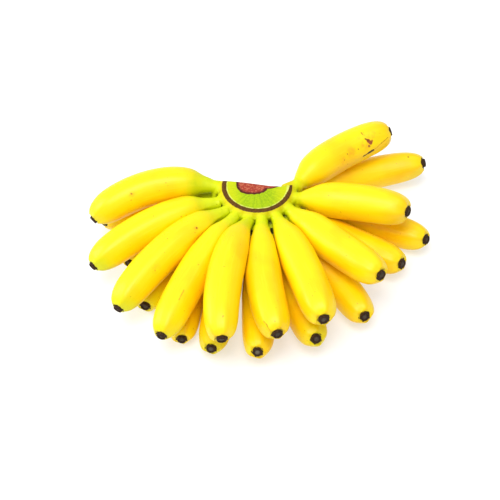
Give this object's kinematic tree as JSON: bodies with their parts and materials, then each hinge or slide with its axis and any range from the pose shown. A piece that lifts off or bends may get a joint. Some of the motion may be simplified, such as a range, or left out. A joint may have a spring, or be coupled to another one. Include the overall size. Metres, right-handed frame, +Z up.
{
  "type": "banana hand",
  "caption": "Hand of small ripe bananas lying crown up, its plump curved fingers fanned out in stacked rows round a cut green crown.",
  "frame": {"origin": "under the middle of the hand's bounding box, on the surface it lies on", "axes": "+Z up through the crown's cut face; -Y to the front, where most fingers point; +X to the hand's right hand end as seen from the front"},
  "size_m": [0.2808, 0.2188, 0.0643],
  "materials": {
    "crown": "fresh-cut pale green flesh with a thin dark rim, and smooth yellow-green stubs below it",
    "peel": "smooth waxy yellow peel with a soft satin sheen, a few brown scars and a dry dark flower end"
  },
  "bodies": {
    "root": {"crown": "crown", "finger_upper_01": "peel", "finger_upper_02": "peel", "finger_upper_03": "peel", "finger_upper_04": "peel", "finger_upper_05": "peel", "finger_upper_06": "peel", "finger_upper_07": "peel", "finger_upper_08": "peel", "finger_upper_09": "peel", "finger_upper_10": "peel", "finger_lower_01": "peel", "finger_lower_02": "peel", "finger_lower_03": "peel", "finger_lower_04": "peel", "finger_lower_05": "peel", "finger_lower_06": "peel", "finger_lower_07": "peel", "finger_lower_08": "peel", "finger_lower_09": "peel", "finger_lower_10": "peel", "finger_lower_11": "peel"}
  },
  "joints": []
}
